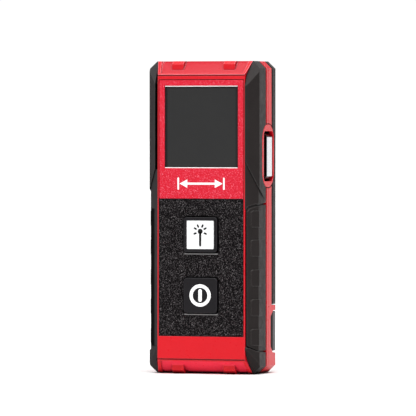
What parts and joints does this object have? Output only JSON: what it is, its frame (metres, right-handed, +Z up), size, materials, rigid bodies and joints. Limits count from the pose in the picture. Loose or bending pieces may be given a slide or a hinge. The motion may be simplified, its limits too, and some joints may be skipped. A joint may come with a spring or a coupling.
{
  "type": "laser distance meter",
  "caption": "Pocket laser distance meter: red shell with black rubber side grips, dark display, textured keypad with two press keys, lanyard bar and a hinged battery door.",
  "frame": {"origin": "middle of the bottom end, at its lowest point", "axes": "+Z up the meter towards the laser end, -Y out of the display face, +X to the right seen from the front"},
  "size_m": [0.0416, 0.0276, 0.112],
  "materials": {
    "red_shell": "semi-gloss moulded red plastic",
    "red_texture": "fine spark-eroded texture, red",
    "grip_rubber": "soft matte overmould, black",
    "key_rubber": "soft matte key rubber, black",
    "black_texture": "coarse leather-like texture, black",
    "display_glass": "smoked clear cover, glossy",
    "white_plastic": "plain white",
    "label_film": "blank matte label film",
    "door_plastic": "dark grey moulded plastic",
    "steel": "brushed",
    "lcd_glass": "grey-green liquid crystal glass",
    "black_plastic": "moulded, matte",
    "circuit_board": "green solder mask",
    "silicone": "translucent grey silicone",
    "brass": "turned",
    "lens_glass": "coated, clear",
    "cell_sleeve": "plain dry-cell sleeve"
  },
  "bodies": {
    "root": {"front_housing": "red_shell", "rear_housing": "red_shell", "rear_label": "label_film", "front_grip_right": "grip_rubber", "front_grip_left": "grip_rubber", "rear_grip_right": "grip_rubber", "rear_grip_left": "grip_rubber", "display_bezel": "red_texture", "keypad_panel": "black_texture", "display_window": "display_glass", "measure_switch": "black_plastic", "power_switch": "black_plastic", "keypad_seal": "silicone", "lcd_panel": "lcd_glass", "lcd_frame": "black_plastic", "lcd_connector": "silicone", "main_board": "circuit_board", "board_screw_right": "steel", "board_screw_left": "steel", "microcontroller": "black_plastic", "buzzer": "black_plastic", "battery_cell_1": "cell_sleeve", "battery_cell_2": "cell_sleeve", "battery_spring_1": "steel", "battery_spring_2": "steel", "battery_plate_1": "steel", "battery_plate_2": "steel", "optics_frame": "black_plastic", "laser_barrel": "brass", "laser_diode": "steel", "collimator_lens": "lens_glass", "receiver_lens": "lens_glass", "receiver_board": "circuit_board", "receiver_sensor": "black_plastic", "laser_window": "lens_glass", "receiver_window": "lens_glass", "optics_cover": "black_plastic", "lanyard_pocket": "red_shell", "lanyard_bar": "steel", "housing_screw_1": "steel", "housing_screw_2": "steel", "housing_screw_3": "steel", "housing_screw_4": "steel"},
    "measure_key": {"measure_button": "key_rubber", "measure_button_insert": "white_plastic"},
    "power_key": {"power_button": "key_rubber"},
    "measure_plunger": {"measure_switch_plunger": "white_plastic"},
    "power_plunger": {"power_switch_plunger": "white_plastic"},
    "battery_door": {"battery_door": "door_plastic", "door_pull_right": "grip_rubber", "door_pull_left": "grip_rubber"}
  },
  "joints": [
    {"name": "measure_press", "type": "slide", "parent": "root", "child": "measure_key", "axis": [0, 1, 0], "range_m": [0, 0.0008], "stiffness_N_per_m": 800},
    {"name": "power_press", "type": "slide", "parent": "root", "child": "power_key", "axis": [0, 1, 0], "range_m": [0, 0.0008], "stiffness_N_per_m": 800},
    {"name": "measure_switch_travel", "type": "slide", "parent": "root", "child": "measure_plunger", "axis": [0, 1, 0], "range_m": [0, 0.00025]},
    {"name": "power_switch_travel", "type": "slide", "parent": "root", "child": "power_plunger", "axis": [0, 1, 0], "range_m": [0, 0.00025]},
    {"name": "battery_door_hinge", "type": "hinge", "parent": "root", "child": "battery_door", "pos_m": [0, 0.013, 0.0583], "axis": [1, 0, 0], "range_deg": [0, 90]}
  ],
  "couplings": [
    {"joint": "measure_switch_travel", "follows": "measure_press", "ratio": 0.3125},
    {"joint": "power_switch_travel", "follows": "power_press", "ratio": 0.3125}
  ]
}
